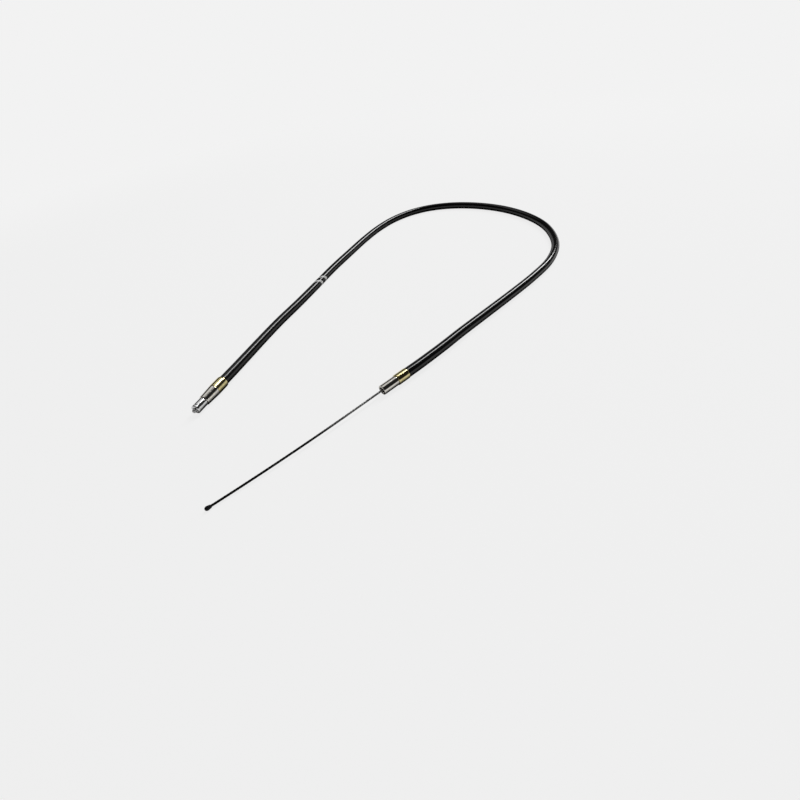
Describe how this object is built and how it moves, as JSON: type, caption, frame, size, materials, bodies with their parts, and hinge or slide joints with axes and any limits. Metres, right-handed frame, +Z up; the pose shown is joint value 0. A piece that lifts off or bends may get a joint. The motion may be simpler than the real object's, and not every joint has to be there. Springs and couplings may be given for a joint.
{
  "type": "accelerator cable",
  "caption": "Short throttle control cable: black casing in an open bend, a stepped brass and plated end on each arm, and a bare inner wire that slides through it.",
  "frame": {"origin": "on the ground under the middle of the outline of the cable as it lies", "axes": "+Z up from the ground; +Y along the longer side of the outline, from the metal ends towards the bend; +X from the throttle end's arm towards the carburettor end's arm"},
  "size_m": [0.2484, 0.352, 0.0072],
  "materials": {
    "cover": "glossy black extruded plastic, with painted white marks",
    "conduit_steel": "bright flat steel wire, close wound",
    "liner": "smooth milky low-friction plastic",
    "wire_rope": "stranded steel rope, darkened by oil",
    "brass_collar": "turned and lightly polished yellow brass",
    "plated_ferrule": "bright plating, slightly warm",
    "plated_nipple": "bright plating with fine turning marks",
    "solder": "soft grey solder, slightly uneven",
    "dark_nipple": "blackened cast metal, satin"
  },
  "bodies": {
    "casing": {"outer_cover": "cover", "spiral_conduit": "conduit_steel", "inner_liner": "liner", "inner_wire": "wire_rope", "throttle_collar": "brass_collar", "throttle_ferrule": "plated_ferrule", "carburettor_collar": "brass_collar", "carburettor_ferrule": "plated_ferrule"},
    "throttle_wire": {"throttle_wire_end": "wire_rope", "throttle_nipple": "plated_nipple", "throttle_solder": "solder"},
    "carburettor_wire": {"carburettor_wire_end": "wire_rope", "carburettor_nipple": "dark_nipple"}
  },
  "joints": [
    {"name": "throttle_pull", "type": "slide", "parent": "casing", "child": "throttle_wire", "axis": [-0.3256, -0.9455, 0], "range_m": [0, 0.02]},
    {"name": "carburettor_draw", "type": "slide", "parent": "casing", "child": "carburettor_wire", "axis": [0.7407, 0.6716, 0.0189], "range_m": [0, 0.02]}
  ],
  "couplings": [
    {"joint": "carburettor_draw", "follows": "throttle_pull", "ratio": 1}
  ]
}
